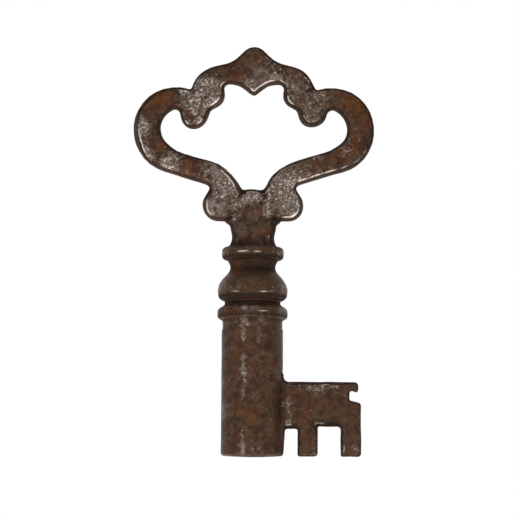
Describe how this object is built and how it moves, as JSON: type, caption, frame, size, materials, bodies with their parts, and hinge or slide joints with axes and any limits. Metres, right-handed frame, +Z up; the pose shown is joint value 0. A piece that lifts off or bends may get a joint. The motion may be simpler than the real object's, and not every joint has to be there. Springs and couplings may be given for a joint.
{
  "type": "decorative skeleton key",
  "caption": "Upright skeleton key with a scrolled openwork bow, turned collars, a pipe barrel and a toothed bit.",
  "frame": {"origin": "centre of the open end of the barrel, on which the key stands upright", "axes": "+Z up along the key towards the bow, +X towards the bit, -Y the face seen from the front"},
  "size_m": [0.0334, 0.0096, 0.0567],
  "materials": {
    "bow_iron": "dark brown patina with rust patches, rubbed to bare grey grain on its edges and foils",
    "stem_iron": "smooth dark brown patina, speckled bare metal at the tongue",
    "collar_iron": "dark brown patina, grey where rubbed, rust in the hollows",
    "barrel_iron": "dark brown patina with light streaks along the pipe",
    "bit_iron": "dark brown patina with orange rust specks"
  },
  "bodies": {
    "root": {"bow": "bow_iron", "stem": "stem_iron", "upper_collar": "collar_iron", "baluster": "collar_iron", "lower_collar": "collar_iron", "barrel": "barrel_iron", "bit": "bit_iron"}
  },
  "joints": []
}
